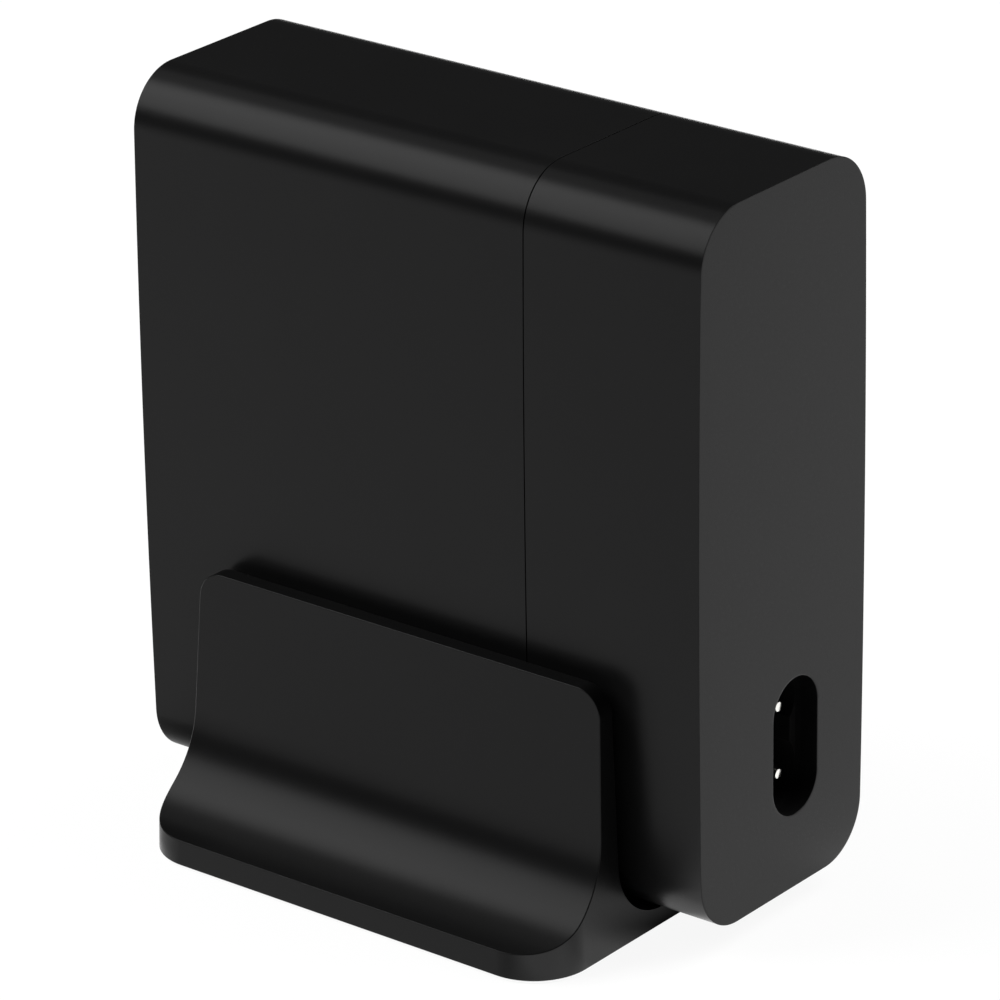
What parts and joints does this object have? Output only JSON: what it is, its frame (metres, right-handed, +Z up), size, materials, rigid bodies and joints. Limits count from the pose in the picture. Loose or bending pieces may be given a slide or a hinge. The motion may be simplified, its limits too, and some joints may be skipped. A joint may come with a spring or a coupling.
{
  "type": "multi port usb desktop charger",
  "caption": "Flat upright desktop charger with rounded edges, a two-pole mains inlet on one end and a column of charging ports on the other, standing in a flared cradle.",
  "frame": {"origin": "middle of the underside of the cradle's rubber pad, on the table", "axes": "+X from the port end to the inlet end, +Y away from the near large face, +Z up"},
  "size_m": [0.0826, 0.0636, 0.0917],
  "materials": {
    "housing": "satin black moulded plastic, very fine grain",
    "cradle": "satin black moulded plastic",
    "panel": "matte black moulded plastic",
    "inlet": "black nylon moulding",
    "insert": "black liquid crystal polymer",
    "pads": "matt black silicone",
    "pin": "nickel plated brass",
    "shell": "plated steel sheet",
    "board": "glass fibre laminate with green solder mask",
    "ferrite": "sintered ferrite",
    "winding": "enamelled copper wire",
    "tape": "yellow polyester tape over the winding",
    "bobbin": "black phenolic",
    "can": "sleeved aluminium can",
    "sheet": "mill finish aluminium sheet",
    "film": "milky polyester film",
    "pad_thermal": "soft grey blue gap filler",
    "chip": "black epoxy package",
    "box_cap": "yellow cased film capacitor",
    "disc": "blue dipped disc",
    "inductor": "pressed metal powder block"
  },
  "bodies": {
    "root": {"base_pad": "pads", "board_header": "insert", "bridge_rectifier": "chip", "buck_inductor_1": "inductor", "buck_inductor_2": "inductor", "buck_inductor_3": "inductor", "buck_inductor_4": "inductor", "bulk_capacitor_1": "can", "bulk_capacitor_2": "can", "choke_core": "ferrite", "choke_winding_1": "winding", "choke_winding_2": "winding", "cradle": "cradle", "cradle_pad": "pads", "end_housing": "housing", "far_heat_spreader": "sheet", "fuse": "chip", "heatsink": "sheet", "inlet_body": "inlet", "inlet_pin_lower": "pin", "inlet_pin_upper": "pin", "insulating_sheet": "film", "main_board": "board", "main_housing": "housing", "near_heat_spreader": "sheet", "optocoupler": "chip", "output_capacitor_1": "can", "output_capacitor_2": "can", "output_capacitor_3": "can", "pfc_bobbin": "bobbin", "pfc_core_lower": "ferrite", "pfc_core_upper": "ferrite", "pfc_winding": "winding", "port_board": "board", "port_controller": "chip", "port_panel": "panel", "power_switch_1": "chip", "power_switch_2": "chip", "thermal_pad": "pad_thermal", "thermistor": "disc", "transformer_bobbin": "bobbin", "transformer_core_lower": "ferrite", "transformer_core_upper": "ferrite", "transformer_winding": "tape", "usb_a_insert_1": "insert", "usb_a_insert_2": "insert", "usb_a_shell_1": "shell", "usb_a_shell_2": "shell", "usb_c_insert_1": "insert", "usb_c_insert_2": "insert", "usb_c_insert_3": "insert", "usb_c_insert_4": "insert", "usb_c_shell_1": "shell", "usb_c_shell_2": "shell", "usb_c_shell_3": "shell", "usb_c_shell_4": "shell", "x_capacitor": "box_cap", "y_capacitor": "disc"}
  },
  "joints": []
}
